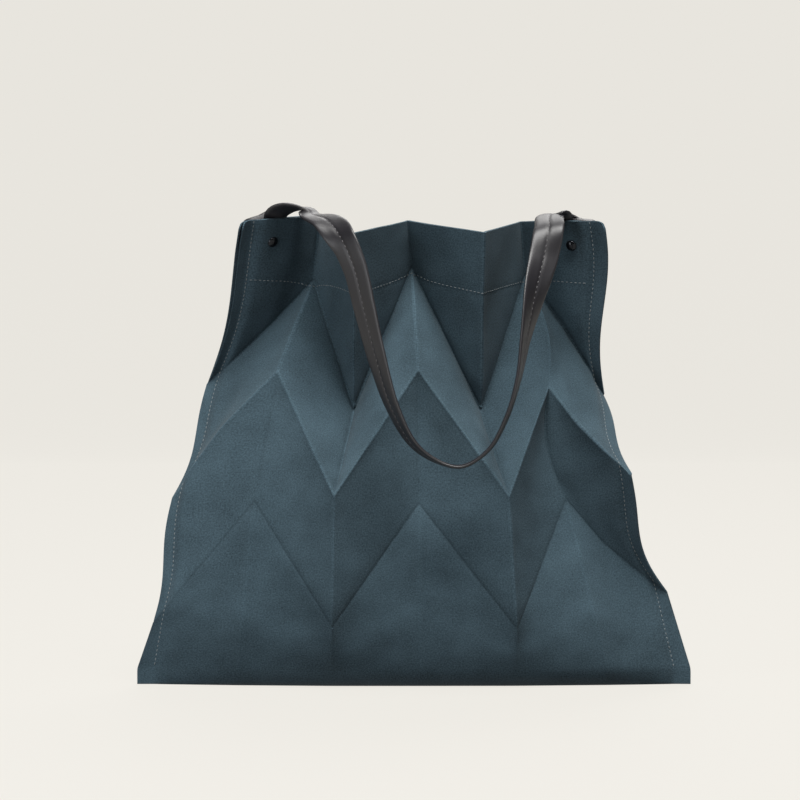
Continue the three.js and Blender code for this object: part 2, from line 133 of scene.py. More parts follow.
ease = {  # small life in the cloth, in metres
    "facetSwell": 0.0012, "swellRange": (-0.4, 1.0), "swellReach": 0.05,
    "broadWave": 0.0009, "broadCell": 0.060,
    "smallWave": 0.00035, "smallCell": 0.016,
    "seamDent": 0.0004, "seamReach": 0.0016,
    "pucker": 0.000175, "puckerReach": 0.006, "puckerPitch": 0.0115, "pitchChange": 0.25, "pitchCell": 0.05,
    "footFade": 0.03, "flangeShare": 0.12, "flangeFade": 0.012,
}


def unit(v):
    # each vector divided by its own length
    return v / np.maximum(np.linalg.norm(v, axis=-1, keepdims=True), 1e-12)


def edgeRuns(place):
    # way of a side edge past each row: the sum of the unit ways above and below it, but straight down at the
    # rim and at the foot
    points = np.array([creasePoints(row)[place] for row in pleatRows])
    steps = unit(np.diff(points, axis=0))
    runs = np.tile(-zAxis, (len(pleatRows), 1))
    runs[1:-1] = unit(steps[:-1] + steps[1:])
    return runs


def creasePoints(row):
    # x = across times half width, y = out times fold depth, z = up times height, or the turn's top at the
    # foot
    across = np.array(row["across"]) * bag["halfWidth"]
    out = np.array(row["out"]) * bag["foldDepth"]
    up = np.full(7, bag["baseRound"]) if row["up"] is None else np.array(row["up"]) * bag["height"]
    return np.column_stack([across, out, up])


def rowStations(row, leftRun, rightRun):
    # thirteen stations of both layers: edge, seam, swell, pad, five creases, and the same back to the right
    # edge; beside the seams the layers part by half the hollow, square to the edge's run and to the way
    # inwards
    creases = creasePoints(row)
    opening = 2 * (bag["hemWall"] + row["open"] * bag["halfDepth"] * np.array([bag["outerOpen"], 1, 1, 1,
                                                                             bag["outerOpen"]]))
    front = np.empty((13, 3))
    front[4:9] = creases[1:6]
    back = front.copy()
    back[4:9] += opening[:, None] * yAxis
    half = np.array([bag["wall"], bag["wall"], bag["hemWall"] + row["swell"] * bag["halfDepth"],
                     bag["hemWall"] + row["pad"] * bag["halfDepth"]])
    for edge, inner, run, slots in ((0, 1, leftRun, [0, 1, 2, 3]), (6, 5, rightRun, [12, 11, 10, 9])):
        way = creases[inner] + opening[0] / 2 * yAxis - creases[edge]
        length = np.linalg.norm(way)
        way = way / length
        facing = unit(np.cross(way, run))
        if facing[1] > 0:
            facing = -facing
        inside = length - bag["flange"]
        along = np.array([0, bag["flange"], bag["flange"] + inside * bag["swellAt"],
                          bag["flange"] + inside * bag["padAt"]])
        middle = creases[edge] + along[:, None] * way
        front[slots] = middle + half[:, None] * facing
        back[slots] = middle - half[:, None] * facing
    return front, back


leftRuns = edgeRuns(0)
rightRuns = edgeRuns(6)
stationRows = [rowStations(row, leftRuns[r], rightRuns[r]) for r, row in enumerate(pleatRows)]
keyRows = {side: np.array([pair[s] for pair in stationRows]) for s, side in enumerate(("front", "back"))}


def stepped(counts, slopes):
    # cubic steps between whole numbers, m0 (s^3 - 2s^2 + s) + 3s^2 - 2s^3 + m1 (s^3 - s^2), crowded where the
    # slope m is low
    parts = []
    for k, n in enumerate(counts):
        s = np.arange(n) / n
        parts.append(k + slopes[k] * (s ** 3 - 2 * s ** 2 + s) + 3 * s ** 2 - 2 * s ** 3
                     + slopes[k + 1] * (s ** 3 - s ** 2))
    return np.concatenate(parts + [[len(counts)]])


stationAt = stepped(weaveGrid["stationSteps"], weaveGrid["stationSlopes"])
rowAt = stepped(weaveGrid["rowSteps"], weaveGrid["rowSlopes"])


def rowLines(rows, at):
    # straight steps between the key rows, with the side edges bowed by sin(pi t) and swayed by sin(2 pi t)
    r = np.minimum(at.astype(int), len(rows) - 2)
    t = (at - r)[:, None, None]
    lines = rows[r] * (1 - t) + rows[r + 1] * t
    bow = np.sin(np.pi * t[..., 0]) * bag["foldDepth"]
    sway = np.sin(2 * np.pi * t[..., 0]) * bag["foldDepth"]
    names = ("left", "leftSway", "right", "rightSway", "fifth")
    share = {name: np.array(bows[name])[r][:, None] for name in names}
    lines[:, :4, 0] += (bow * share["left"] + sway * share["leftSway"]) * bowShares
    lines[:, :8:-1, 0] -= (bow * share["right"] + sway * share["rightSway"]) * bowShares
    lines[:, bows["fifthStation"], 0] += (bow * share["fifth"])[:, 0]
    return lines


def stationGrid(lines, at):
    # straight steps between the stations of every line
    k = np.minimum(at.astype(int), lines.shape[1] - 2)
    u = (at - k)[None, :, None]
    return lines[:, k] * (1 - u) + lines[:, k + 1] * u


def footLines(side):
    # the turn under: z = R (1 - sin a) while each point closes in by R (1 - cos a), then flat to the middle
    # line
    foot = keyRows[side][-1]
    middle = (keyRows["front"][-1] + keyRows["back"][-1]) / 2
    mostOpen = np.linalg.norm(keyRows["front"][-1] - keyRows["back"][-1], axis=1).max() / 2
    turned = bag["baseRound"] / mostOpen
    angle = np.linspace(0, math.pi / 2, weaveGrid["turnSteps"] + 1)[1:]
    flat = np.linspace(turned, bag["baseClose"], weaveGrid["baseSteps"] + 1)[1:]
    inset = np.concatenate([turned * (1 - np.cos(angle)), flat])[:, None] * np.ones(13)
    onFlange = np.array([0, 1, 11, 12])
    inset[:, onFlange] = np.maximum((inset[:, onFlange] - turned) / (1 - turned), 0)
    lines = foot + (middle - foot) * inset[..., None]
    lines[..., 2] = np.concatenate([bag["baseRound"] * (1 - np.sin(angle)), np.zeros(len(flat))])[:, None]
    return lines


def soften(grid, times):
    # every inner point moves to half itself and a quarter of each neighbour, along the rows and down them
    for _ in range(times):
        grid[:, 1:-1] = grid[:, 1:-1] / 2 + (grid[:, 2:] + grid[:, :-2]) / 4
        grid[1:-1] = grid[1:-1] / 2 + (grid[2:] + grid[:-2]) / 4
    return grid


def gridNormals(grid, outward):
    # cross product of the way down and the way along, turned outwards
    return unit(np.cross(np.gradient(grid, axis=0), np.gradient(grid, axis=1))) * outward


def softNoise(x, y, cell, seed):
    # random heights on a lattice, blended with 3t^2 - 2t^3 between its points, from -1 to 1
    size = 64       # the lattice repeats after this many cells
    shift = 7       # cells, so that no place near zero falls before the first one
    heights = np.random.default_rng(seed).uniform(-1, 1, (size, size))
    a, b = x / cell + shift, y / cell + shift
    i, j = np.floor(a).astype(int), np.floor(b).astype(int)
    u, v = a - i, b - j
    u, v = u * u * (3 - 2 * u), v * v * (3 - 2 * v)
    at = lambda p, q: heights[(i + p) % size, (j + q) % size]
    top = at(0, 0) * (1 - u) + at(1, 0) * u
    return top * (1 - v) + (at(0, 1) * (1 - u) + at(1, 1) * u) * v


def flatPlaces():
    # place of every grid point on the unfolded cloth: metres along it from the left edge, and down from the
    # rim, in straight steps between the creases
    along = np.interp(stationAt, np.arange(13), flatCloth["stations"])
    place = along / flatCloth["columnWidth"]
    odd = 1 - np.abs((place % 2) - 1)          # 0 at even creases and 1 at odd ones
    down = np.array([np.interp(rowAt, np.arange(5), flatCloth["evenDown"]),
                     np.interp(rowAt, np.arange(5), flatCloth["oddDown"])])
    body = down[0][:, None] * (1 - odd) + down[1][:, None] * odd
    turn = np.linspace(0, flatCloth["turnLength"], weaveGrid["turnSteps"] + 1)[1:]
    base = flatCloth["turnLength"] + np.linspace(0, flatCloth["baseLength"], weaveGrid["baseSteps"] + 1)[1:]
    under = body[-1] + np.concatenate([turn, base])[:, None]
    down = np.vstack([body, under])
    return np.broadcast_to(along, down.shape), down


def creaseRelief(side):
    # h exp(-(gap / reach)^2) + pinch exp(-gap / pinchReach) along every crease, up on ridges and down in
    # valleys, and the same narrow line from -1 to 1 as painted light: a painted highlight on ridges, painted
    # shade in valleys
    along, down = flatPlaces()
    rowCount = len(rowAt)
    place = along[0] / flatCloth["columnWidth"]
    odd = 1 - np.abs((place % 2) - 1)
    keyDown = np.outer(flatCloth["evenDown"], 1 - odd) + np.outer(flatCloth["oddDown"], odd)
    outward = 1 if side == "front" else -1
    relief, paintedCreaseLightShade = np.zeros(down.shape), np.zeros(down.shape)
    rowGaps = np.abs(down[None] - keyDown[1:4, None]) * press["zigzagCos"]
    clear = np.clip(rowGaps.min(axis=0) / press["rowClear"], 0, 1)
    band = np.concatenate([np.minimum(rowAt.astype(int), 3), np.full(len(down) - rowCount, 3)])
    lastBand = np.where(rowAt > 3, 1 - press["footFade"] * (rowAt - 3), 1)
    fade = np.concatenate([lastBand, np.zeros(len(down) - rowCount)])
    lines = [(gap, np.full(down.shape, sign * weight)) for gap, sign, weight
             in zip(rowGaps, press["rowSigns"], press["rowWeights"])]
    for column in range(1, 6):
        sign = np.where((band + column) % 2 == 0, 1, -1) * np.array(press["columnWeights"])[band] * fade
        gap = np.broadcast_to(np.abs(place - column) * flatCloth["columnWidth"], down.shape)
        lines.append((gap, sign[:, None] * clear))
    for gap, weight in lines:
        relief += weight * press["line"] * np.exp(-(gap / press["lineReach"]) ** 2)
        relief += weight * press["pinch"] * np.exp(-gap / press["pinchReach"])
        paintedCreaseLightShade += weight * np.exp(-(gap / press["paintedLightShadeReach"]) ** 2)
    return relief * outward, np.clip(paintedCreaseLightShade, -1, 1) * outward


def facetSwell(side):
    # each facet swells by sin(pi u) sin(pi t) times its own small height
    rng = np.random.default_rng(5 if side == "front" else 6)
    heights = rng.uniform(*ease["swellRange"], (len(weaveGrid["rowSteps"]), 6))
    place = flatPlaces()[0][0] / flatCloth["columnWidth"]
    column = np.minimum(place.astype(int), 5)
    row = np.minimum(rowAt.astype(int), len(weaveGrid["rowSteps"]) - 1)
    swell = np.outer(np.sin(np.pi * (rowAt - row)), np.sin(np.pi * (place - column)))
    under = np.zeros((weaveGrid["turnSteps"] + weaveGrid["baseSteps"], len(place)))
    return np.vstack([swell * heights[row][:, column], under])


def panelSurface(side):
    # outer face of one panel as a grid of points, from the rim to the middle line of the base: the straight
    # lines are tucked in towards the base by share * (1 - z / height)^power, softened, and moved along their
    # normals by the waves, puckers, swells and creases
    both = {name: np.concatenate([rowLines(keyRows[name], rowAt), footLines(name)]) for name in keyRows}
    lines = both[side]
    low = np.clip(1 - lines[..., 2:] / bag["tuckHeight"], 0, 1)
    tuck = bag["tuckShare"] * low ** bag["tuckPower"]
    lines = lines + ((both["front"] + both["back"]) / 2 - lines) * tuck * [1, 1, 0]
    if side == "front":
        step = bag["edgeStep"] * np.clip((lines[:, :1, 2] - bag["edgeStepFrom"]) / bag["edgeStepOver"], 0, 1)
        lines[:, 0] += (lines[:, 1] - lines[:, 0]) * step
    grid = soften(stationGrid(lines, stationAt), weaveGrid["softenTimes"])
    outward = 1 if side == "front" else -1
    along, down = flatPlaces()
    seed = 11 if side == "front" else 31
    wave = softNoise(along, down, ease["broadCell"], seed) * ease["broadWave"]
    wave += softNoise(along, down, ease["smallCell"], seed + 1) * ease["smallWave"]
    fade = np.clip(grid[..., 2] / ease["footFade"], 0, 1)
    inwards = np.minimum(along, along[:, -1:] - along)
    hemGap = down - bag["hemDepth"]
    seamGap = inwards - bag["flange"]
    for gap, run in ((hemGap, along), (seamGap, down)):
        near = np.exp(-(gap / ease["puckerReach"]) ** 2)
        change = ease["pitchChange"] * softNoise(run, run, ease["pitchCell"], seed + 2)
        pitch = ease["puckerPitch"] * (1 + change)
        wave += near * np.sin(2 * math.pi * run / pitch) * ease["pucker"]
        wave -= np.exp(-(gap / ease["seamReach"]) ** 2) * ease["seamDent"]
    wave += facetSwell(side) * ease["facetSwell"] * np.clip(inwards / ease["swellReach"], 0, 1)
    wave += creaseRelief(side)[0]
    calm = np.clip((inwards - bag["flange"]) / ease["flangeFade"], ease["flangeShare"], 1)
    grid += gridNormals(grid, outward) * (wave * fade * calm)[..., None]
    grid[..., 1] += bag["standShift"]
    corner = np.clip(1 - inwards / bag["cornerRound"], 0, 1)
    drop = bag["cornerRound"] * (1 - np.sqrt(1 - corner ** 2)) * np.clip(1 - down / bag["cornerFade"], 0, 1)
    grid[..., 2] = np.maximum(grid[..., 2] - drop * bag["cornerDrop"], 0)
    return grid


sharpAngle = math.radians(60)       # steeper bends are shaded as edges


def newObject(name, verts, faces, material, uv=None, paintedCreaseLightShade=None):
    # a mesh object from whole arrays: vertex places, quads, and a flat place and the painted crease highlight
    # and shade at each vertex
    mesh = bpy.data.meshes.new(name)
    verts = np.ascontiguousarray(verts, dtype=np.float32)
    faces = np.ascontiguousarray(faces, dtype=np.int32)
    mesh.vertices.add(len(verts))
    mesh.vertices.foreach_set("co", verts.ravel())
    mesh.loops.add(faces.size)
    mesh.loops.foreach_set("vertex_index", faces.ravel())
    mesh.polygons.add(len(faces))
    mesh.polygons.foreach_set("loop_start", np.arange(len(faces), dtype=np.int32) * faces.shape[1])
    mesh.polygons.foreach_set("use_smooth", np.ones(len(faces), dtype=bool))
    mesh.update(calc_edges=True)
    if uv is not None:
        layer = mesh.uv_layers.new(name="cloth")
        layer.data.foreach_set("uv", np.asarray(uv, dtype=np.float32)[faces.ravel()].ravel())
    if paintedCreaseLightShade is not None:
        mesh.attributes.new("crease", "FLOAT", "POINT").data.foreach_set("value", np.float32(paintedCreaseLightShade))
    mesh.validate()
    mesh.set_sharp_from_angle(angle=sharpAngle)
    obj = bpy.data.objects.new(name, mesh)
    bpy.context.collection.objects.link(obj)
    mesh.materials.append(material)
    return obj


def gridQuads(rows, cols, start=0, flip=False):
    # four corners of every cell of a rows by cols grid of vertices
    i = start + np.arange(rows * cols).reshape(rows, cols)
    quads = np.stack([i[:-1, :-1], i[1:, :-1], i[1:, 1:], i[:-1, 1:]], axis=-1).reshape(-1, 4)
    return quads[:, ::-1] if flip else quads


def stripQuads(a, b):
    # a strip between two equal runs of vertices
    return np.stack([a[:-1], a[1:], b[1:], b[:-1]], axis=-1)


def walledGrid(outer, inner, outward):
    # a closed wall between two equal grids: both faces and a strip along each of the four borders
    rows, cols = outer.shape[:2]
    count = rows * cols
    flip = outward < 0
    o = np.arange(count).reshape(rows, cols)
    i = o + count
    topAndFoot = [stripQuads(o[0], i[0]), stripQuads(i[-1], o[-1])]
    leftAndRight = [stripQuads(i[:, 0], o[:, 0]), stripQuads(o[:, -1], i[:, -1])]
    border = np.concatenate(topAndFoot + leftAndRight)
    if flip:
        border = border[:, ::-1]
    faces = np.concatenate([gridQuads(rows, cols, 0, flip), gridQuads(rows, cols, count, not flip), border])
    return np.concatenate([outer.reshape(-1, 3), inner.reshape(-1, 3)]), faces


def nodeMaterial(name):
    # a new material with its nodes, its links and its shader
    material = bpy.data.materials.new(name)
    material.use_nodes = True
    nodes = material.node_tree.nodes
    return material, nodes, material.node_tree.links, nodes["Principled BSDF"]


def addNode(nodes, kind, **values):
    # a node with its settings, and the values of its sockets, named with _ for a space
    node = nodes.new(kind)
    for key, value in values.items():
        if hasattr(node, key):
            setattr(node, key, value)
        else:
            node.inputs[key.replace("_", " ")].default_value = value
    return node


canvasLook = {
    "dark": (0.011, 0.021, 0.028, 1), "light": (0.068, 0.113, 0.142, 1), "roughness": 0.9,
    "waveScale": 0.314,       # scale of a wave texture whose bands are a metre apart
    "threadPitch": 0.00085, "threadWander": 0.9,
    "weaveHeight": 0.00010, "slubHeight": 0.00016, "bumpStrength": 0.5, "creaseShade": 0.16,
    "slubScale": 720.0, "cloudScale": 24.0,
    "threadShare": 0.30,      # of the threads, added to the slubs
    "grainShare": 1.30,       # of threads and slubs, added to the clouds
    "cloudShare": 0.60, "cloudShift": -0.50,
    "darkAt": 0.30, "lightAt": 1.0,
    "specular": 0.2, "sheen": 0.05, "sheenRoughness": 0.5,
}


def canvasMaterial():
    # a plain weave: two crossed rows of threads on the unfolded cloth, with slubs, soft fading, and a painted
    # highlight along the creases' ridges and painted shade along their valleys
    material, nodes, links, shader = nodeMaterial("slate canvas")
    place = addNode(nodes, "ShaderNodeUVMap", uv_map="cloth")
    threads = canvasLook["waveScale"] / canvasLook["threadPitch"]
    warp, weft = [addNode(nodes, "ShaderNodeTexWave", wave_type="BANDS", bands_direction=way, Scale=threads,
                          Distortion=canvasLook["threadWander"], Detail=1.0) for way in ("X", "Y")]
    cross = addNode(nodes, "ShaderNodeMath", operation="MAXIMUM")
    slub = addNode(nodes, "ShaderNodeTexNoise", Scale=canvasLook["slubScale"], Detail=3.0, Roughness=0.7)
    clouds = addNode(nodes, "ShaderNodeTexNoise", Scale=canvasLook["cloudScale"], Detail=5.0, Roughness=0.6)
    grain = addNode(nodes, "ShaderNodeMath", operation="MULTIPLY_ADD")
    grain.inputs[1].default_value = canvasLook["threadShare"]
    cloudPart = addNode(nodes, "ShaderNodeMath", operation="MULTIPLY_ADD")
    cloudPart.inputs[1].default_value = canvasLook["cloudShare"]
    cloudPart.inputs[2].default_value = canvasLook["cloudShift"]
    mixed = addNode(nodes, "ShaderNodeMath", operation="MULTIPLY_ADD")
    mixed.inputs[1].default_value = canvasLook["grainShare"]
    ramp = addNode(nodes, "ShaderNodeValToRGB")
    darkEnd, lightEnd = ramp.color_ramp.elements
    darkEnd.position = canvasLook["darkAt"]
    darkEnd.color = canvasLook["dark"]
    lightEnd.position = canvasLook["lightAt"]
    lightEnd.color = canvasLook["light"]
    # the crease attribute lightens ridges as a painted highlight and darkens valleys as painted shade, by
    # creaseShade
    crease = addNode(nodes, "ShaderNodeAttribute", attribute_name="crease")
    shade = addNode(nodes, "ShaderNodeMath", operation="MULTIPLY_ADD")
    shade.inputs[1].default_value = canvasLook["creaseShade"]
    shade.inputs[2].default_value = 1.0
    paintedCreaseTone = addNode(nodes, "ShaderNodeHueSaturation")
    strength = canvasLook["bumpStrength"]
    weaveBump = addNode(nodes, "ShaderNodeBump", Strength=strength, Distance=canvasLook["weaveHeight"])
    slubBump = addNode(nodes, "ShaderNodeBump", Strength=strength, Distance=canvasLook["slubHeight"])
    for node in (warp, weft, slub, clouds):
        links.new(place.outputs["UV"], node.inputs["Vector"])
    links.new(warp.outputs["Fac"], cross.inputs[0])
    links.new(weft.outputs["Fac"], cross.inputs[1])
    links.new(cross.outputs[0], grain.inputs[0])
    links.new(slub.outputs["Fac"], grain.inputs[2])
    links.new(grain.outputs[0], mixed.inputs[0])
    links.new(clouds.outputs["Fac"], cloudPart.inputs[0])
    links.new(cloudPart.outputs[0], mixed.inputs[2])
    links.new(mixed.outputs[0], ramp.inputs["Fac"])
    links.new(crease.outputs["Fac"], shade.inputs[0])
    links.new(ramp.outputs["Color"], paintedCreaseTone.inputs["Color"])
    links.new(shade.outputs[0], paintedCreaseTone.inputs["Value"])
    links.new(paintedCreaseTone.outputs["Color"], shader.inputs["Base Color"])
    links.new(cross.outputs[0], weaveBump.inputs["Height"])
    links.new(slub.outputs["Fac"], slubBump.inputs["Height"])
    links.new(weaveBump.outputs["Normal"], slubBump.inputs["Normal"])
    links.new(slubBump.outputs["Normal"], shader.inputs["Normal"])
    shader.inputs["Roughness"].default_value = canvasLook["roughness"]
    shader.inputs["Specular IOR Level"].default_value = canvasLook["specular"]
    shader.inputs["Sheen Weight"].default_value = canvasLook["sheen"]
    shader.inputs["Sheen Roughness"].default_value = canvasLook["sheenRoughness"]
    return material


leatherLook = {
    "dyeScale": 60.0, "grainStrength": 0.35,
    "dark": (0.0065, 0.0060, 0.0078, 1), "light": (0.0145, 0.0134, 0.0166, 1),
    "roughness": 0.44, "grainScale": 900.0, "grainHeight": 0.00012,
}


def leatherMaterial():
    # fine pebbled grain over a faintly uneven dye
    material, nodes, links, shader = nodeMaterial("black leather")
    place = addNode(nodes, "ShaderNodeTexCoord")
    pebble = addNode(nodes, "ShaderNodeTexVoronoi", feature="SMOOTH_F1", Scale=leatherLook["grainScale"])
    dye = addNode(nodes, "ShaderNodeTexNoise", Scale=leatherLook["dyeScale"], Detail=5.0)
    ramp = addNode(nodes, "ShaderNodeValToRGB")
    ramp.color_ramp.elements[0].color = leatherLook["dark"]
    ramp.color_ramp.elements[1].color = leatherLook["light"]
    bump = addNode(nodes, "ShaderNodeBump", Strength=leatherLook["grainStrength"],
                   Distance=leatherLook["grainHeight"])
    links.new(place.outputs["Object"], pebble.inputs["Vector"])
    links.new(place.outputs["Object"], dye.inputs["Vector"])
    links.new(dye.outputs["Fac"], ramp.inputs["Fac"])
    links.new(ramp.outputs["Color"], shader.inputs["Base Color"])
    links.new(pebble.outputs["Distance"], bump.inputs["Height"])
    links.new(bump.outputs["Normal"], shader.inputs["Normal"])
    shader.inputs["Roughness"].default_value = leatherLook["roughness"]
    return material


def plainMaterial(name, color, roughness, metallic=0.0, noiseScale=800.0, unevenness=0.15):
    # one colour, varied a little in shade by fine noise
    material, nodes, links, shader = nodeMaterial(name)
    place = addNode(nodes, "ShaderNodeTexCoord")
    noise = addNode(nodes, "ShaderNodeTexNoise", Scale=noiseScale, Detail=3.0)
    ramp = addNode(nodes, "ShaderNodeValToRGB")
    ramp.color_ramp.elements[0].color = tuple(c * (1 - unevenness) for c in color) + (1,)
    ramp.color_ramp.elements[1].color = tuple(c * (1 + unevenness) for c in color) + (1,)
    links.new(place.outputs["Object"], noise.inputs["Vector"])
    links.new(noise.outputs["Fac"], ramp.inputs["Fac"])
    links.new(ramp.outputs["Color"], shader.inputs["Base Color"])
    shader.inputs["Roughness"].default_value = roughness
    shader.inputs["Metallic"].default_value = metallic
    return material


plainLooks = {
    "dark rivet": {"color": (0.012, 0.013, 0.016), "roughness": 0.16, "metallic": 0.7},
    "canvas thread": {"color": (0.19, 0.215, 0.225), "roughness": 0.7},
    "handle thread": {"color": (0.080, 0.076, 0.080), "roughness": 0.55},
}
canvas = canvasMaterial()
leather = leatherMaterial()
capMetal, canvasThread, handleThread = [plainMaterial(name, **look) for name, look in plainLooks.items()]

surfaces = {side: panelSurface(side) for side in ("front", "back")}
clothAlong, clothDown = flatPlaces()


def makePanel(side):
    # the outer face moved in by the cloth's thickness, which steps up in the hem by 1 / (1 + exp(gap / soft))
    outward = 1 if side == "front" else -1
    outer = surfaces[side]
    step = 1 / (1 + np.exp((clothDown - bag["hemDepth"]) / bag["hemSoft"]))
    thick = bag["canvasThick"] + (bag["hemThick"] - bag["canvasThick"]) * step
    onFlange = np.minimum(clothAlong, clothAlong[:, -1:] - clothAlong) < bag["flange"] + bag["seamSoft"]
    thick = np.where(onFlange, bag["canvasThick"], thick)
    inner = outer - gridNormals(outer, outward) * thick[..., None]
    verts, faces = walledGrid(outer, inner, outward)
    flat = np.stack([clothAlong, clothDown], axis=-1).reshape(-1, 2)
    # a painted highlight along the ridges and painted shade along the valleys, turned round for the inner
    # face
    paintedCreaseLightShade = creaseRelief(side)[1].ravel()
    return newObject(f"canvas_panel_{side}", verts, faces, canvas, uv=np.concatenate([flat, flat]),
                     paintedCreaseLightShade=np.concatenate([paintedCreaseLightShade, -paintedCreaseLightShade]))


panels = {side: makePanel(side) for side in ("front", "back")}
print("canvas panels:", {side: len(p.data.polygons) for side, p in panels.items()})

stitch = {
    "hemPitch": 0.0040, "seamPitch": 0.0038, "strapPitch": 0.0048,
    "length": 0.0026, "width": 0.00062, "sink": 0.00008,
    "hemRise": 0.001,         # how far the hem's row lies above the hem's edge
    "strapLength": 0.0030, "strapWidth": 0.0008, "strapRise": 0.00012, "strapMargin": 8,
    "dipPower": 2.5, "dip": 0.8,
    "lines": 7,               # lines of latitude and of longitude round a bead
}


def sampleGrid(grid, r, c):
    # values between grid points, by shares of the four around each place
    i, j = np.minimum(r.astype(int), grid.shape[0] - 2), np.minimum(c.astype(int), grid.shape[1] - 2)
    u, v = (r - i)[:, None], (c - j)[:, None]
    top = grid[i, j] * (1 - v) + grid[i, j + 1] * v
    return top * (1 - u) + (grid[i + 1, j] * (1 - v) + grid[i + 1, j + 1] * v) * u


def evenly(points, pitch):
    # fractional indexes of places spaced by pitch along a polyline
    length = np.concatenate([[0], np.cumsum(np.linalg.norm(np.diff(points, axis=0), axis=1))])
    count = int(length[-1] / pitch)
    return np.interp((np.arange(count) + 0.5) * pitch, length, np.arange(len(points)))


def threadBead(length, width):
    # a bead of thread: a sphere stretched along x, with its ends dipping by (2x / length)^power
    lines = stitch["lines"]
    lon = np.linspace(0, 2 * math.pi, lines)[:-1]
    lat = np.linspace(-math.pi / 2, math.pi / 2, lines)
    a, b = np.meshgrid(lat, lon, indexing="ij")
    x = np.sin(a) * length / 2
    y = np.cos(a) * np.cos(b) * width / 2
    dip = (np.abs(x) / (length / 2)) ** stitch["dipPower"] * width * stitch["dip"]
    z = np.cos(a) * np.sin(b) * width / 2 - dip
    verts = np.stack([x, y, z], axis=-1).reshape(-1, 3)
    i = np.arange(lines * (lines - 1)).reshape(lines, lines - 1)
    wrapped = np.concatenate([i, i[:, :1]], axis=1)
    quads = np.stack([wrapped[:-1, :-1], wrapped[:-1, 1:], wrapped[1:, 1:], wrapped[1:, :-1]], axis=-1)
    return verts, quads.reshape(-1, 4)


def stitchRun(name, places, ways, ups, material, length, width):
    # one bead at each place, its x along the way and its z along the surface's normal
    verts, quads = threadBead(length, width)
    ways = unit(ways)
    sides = unit(np.cross(ups, ways))
    ups = np.cross(ways, sides)
    turned = verts[None, :, :1] * ways[:, None] + verts[None, :, 1:2] * sides[:, None]
    turned = turned + verts[None, :, 2:] * ups[:, None]
    allVerts = (turned + places[:, None]).reshape(-1, 3)
    allQuads = (quads[None] + (np.arange(len(places)) * len(verts))[:, None, None]).reshape(-1, 4)
    return newObject(name, allVerts, allQuads, material)


def seamStitches(side):
    # the hem's row at its depth below the rim, and one row down each side seam
    grid = surfaces[side]
    normals = gridNormals(grid, 1 if side == "front" else -1)
    cols = np.arange(grid.shape[1], dtype=float)
    hemRow = (clothDown < bag["hemDepth"] - stitch["hemRise"]).sum(axis=0) - 1
    gapAbove = bag["hemDepth"] - stitch["hemRise"] - clothDown[hemRow, cols.astype(int)]
    gapStep = clothDown[hemRow + 1, cols.astype(int)] - clothDown[hemRow, cols.astype(int)]
    hemAt = hemRow + gapAbove / gapStep
    inside = (clothAlong[0] > bag["flange"]) & (clothAlong[0] < clothAlong[0, -1] - bag["flange"])
    runs = [(hemAt[inside], cols[inside], stitch["hemPitch"])]
    rowsDown = np.arange(sum(weaveGrid["rowSteps"]) + 1, dtype=float)
    for station in (1, 11):
        col = np.interp(station, stationAt, cols)
        runs.append((rowsDown, np.full(len(rowsDown), col), stitch["seamPitch"]))
    places, ways, ups = [], [], []
    for r, c, pitch in runs:
        line = sampleGrid(grid, r, c)
        at = evenly(line, pitch)
        rr, cc = np.interp(at, np.arange(len(r)), r), np.interp(at, np.arange(len(c)), c)
        normal = unit(sampleGrid(normals, rr, cc))
        spot = sampleGrid(grid, rr, cc) + normal * (stitch["width"] / 2 - stitch["sink"])
        tangent = np.gradient(line, axis=0)
        way = np.column_stack([np.interp(at, np.arange(len(line)), tangent[:, k]) for k in range(3)])
        places.append(spot)
        ways.append(way)
        ups.append(normal)
    return stitchRun(f"canvas_stitches_{side}", np.concatenate(places), np.concatenate(ways),
                     np.concatenate(ups), canvasThread, stitch["length"], stitch["width"])


stitchRows = [seamStitches(side) for side in ("front", "back")]
print("canvas stitches:", [len(s.data.polygons) for s in stitchRows])

rivet = {
    "drop": 0.021, "inset": 0.012,          # its place below the rim and inside the seam
    "head": 0.0045, "dome": 0.0024, "post": 0.0017, "foot": 0.0012,
    "air": 0.00035,                         # gap between the rivet, the canvas and the strap
    "lip": 0.0004,                          # straight edge of the head
    "undercut": 0.96, "footTaper": 0.92, "footEdge": 0.7,
    "domeTurn": 0.999,                      # share of a quarter turn that the dome's side takes
    "pole": 0.00001,                        # radius left open at each end of the turned outline
    "domeSteps": 9, "sides": 32,
}
strap = {
    "width": 0.025, "thick": 0.0032, "rings": 420, "edgePower": 7,
    "tabWidth": 0.016, "tabReach": 0.024, "tabGrow": 0.016,     # the narrow end, and how soon it widens
    "groove": 0.0005, "grooveReach": 0.10,                      # the stitched groove; its reach is a share
    "wander": 0.02, "wanderCell": 0.02,                         # small change of the width along it
    "endRound": 0.02,                                           # least share of the width at the very end
    "edgePoints": 13, "grooveSide": 0.045,                      # points across it, and beside the groove
    "measureSteps": 4000,                                       # close steps, to measure the length
}

